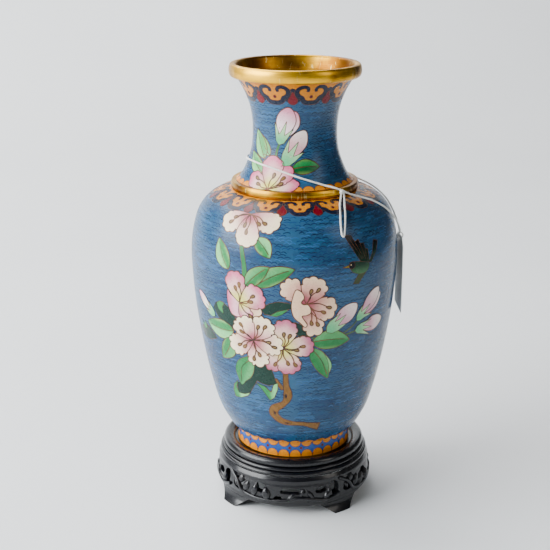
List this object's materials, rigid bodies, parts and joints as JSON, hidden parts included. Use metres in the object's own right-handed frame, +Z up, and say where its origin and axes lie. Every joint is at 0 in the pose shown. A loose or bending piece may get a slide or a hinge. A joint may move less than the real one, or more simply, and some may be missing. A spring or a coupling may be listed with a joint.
{
  "type": "vase",
  "caption": "Baluster vase in blue cloisonne enamel with blossom sprays, gilt rim and collar, standing loose in a carved black wooden stand, with a blank tag on a string.",
  "frame": {"origin": "centre of the plane that the stand's feet rest on, on the vase's axis", "axes": "+Z up along the vase's axis; -Y towards the side with the main blossom spray"},
  "size_m": [0.1248, 0.1208, 0.2605],
  "materials": {
    "lacquered_wood": "semi-gloss black lacquer",
    "gilt": "polished gilt",
    "copper": "spun copper, gilt where it shows",
    "blue_enamel": "polished glass enamel with fine wires",
    "border_enamel": "polished glass enamel in wire cells",
    "counter_enamel": "plain fired enamel",
    "string": "white cotton string",
    "card": "blank card"
  },
  "bodies": {
    "stand": {"stand_lip": "lacquered_wood", "stand_seat_board": "lacquered_wood", "stand_waist_moulding": "lacquered_wood", "apron_front": "lacquered_wood", "apron_right": "lacquered_wood", "apron_back": "lacquered_wood", "apron_left": "lacquered_wood", "foot_front_right": "lacquered_wood", "foot_back_right": "lacquered_wood", "foot_back_left": "lacquered_wood", "foot_front_left": "lacquered_wood"},
    "vase": {"foot_edge_ring": "gilt", "foot_core": "copper", "foot_enamel": "border_enamel", "foot_joint_wire": "gilt", "base_enamel": "counter_enamel", "body_core": "copper", "body_enamel": "blue_enamel", "shoulder_ruyi_border": "border_enamel", "collar_ring": "gilt", "neck_core": "gilt", "neck_scallop_border": "border_enamel", "neck_enamel": "blue_enamel", "neck_ruyi_border": "border_enamel", "inner_enamel": "counter_enamel", "rim_ring": "gilt", "tag_string": "string", "tag_string_loop": "string", "tag_string_knot": "string"},
    "tag": {"tag_card": "card", "tag_eye": "string"}
  },
  "joints": [
    {"name": "vase_lift", "type": "slide", "parent": "stand", "child": "vase", "axis": [0, 0, 1], "range_m": [0, 0.06]},
    {"name": "tag_swing", "type": "hinge", "parent": "vase", "child": "tag", "pos_m": [0.06235, 0.00436, 0.1605], "axis": [0.0698, -0.9976, 0], "range_deg": [0, 75]}
  ]
}
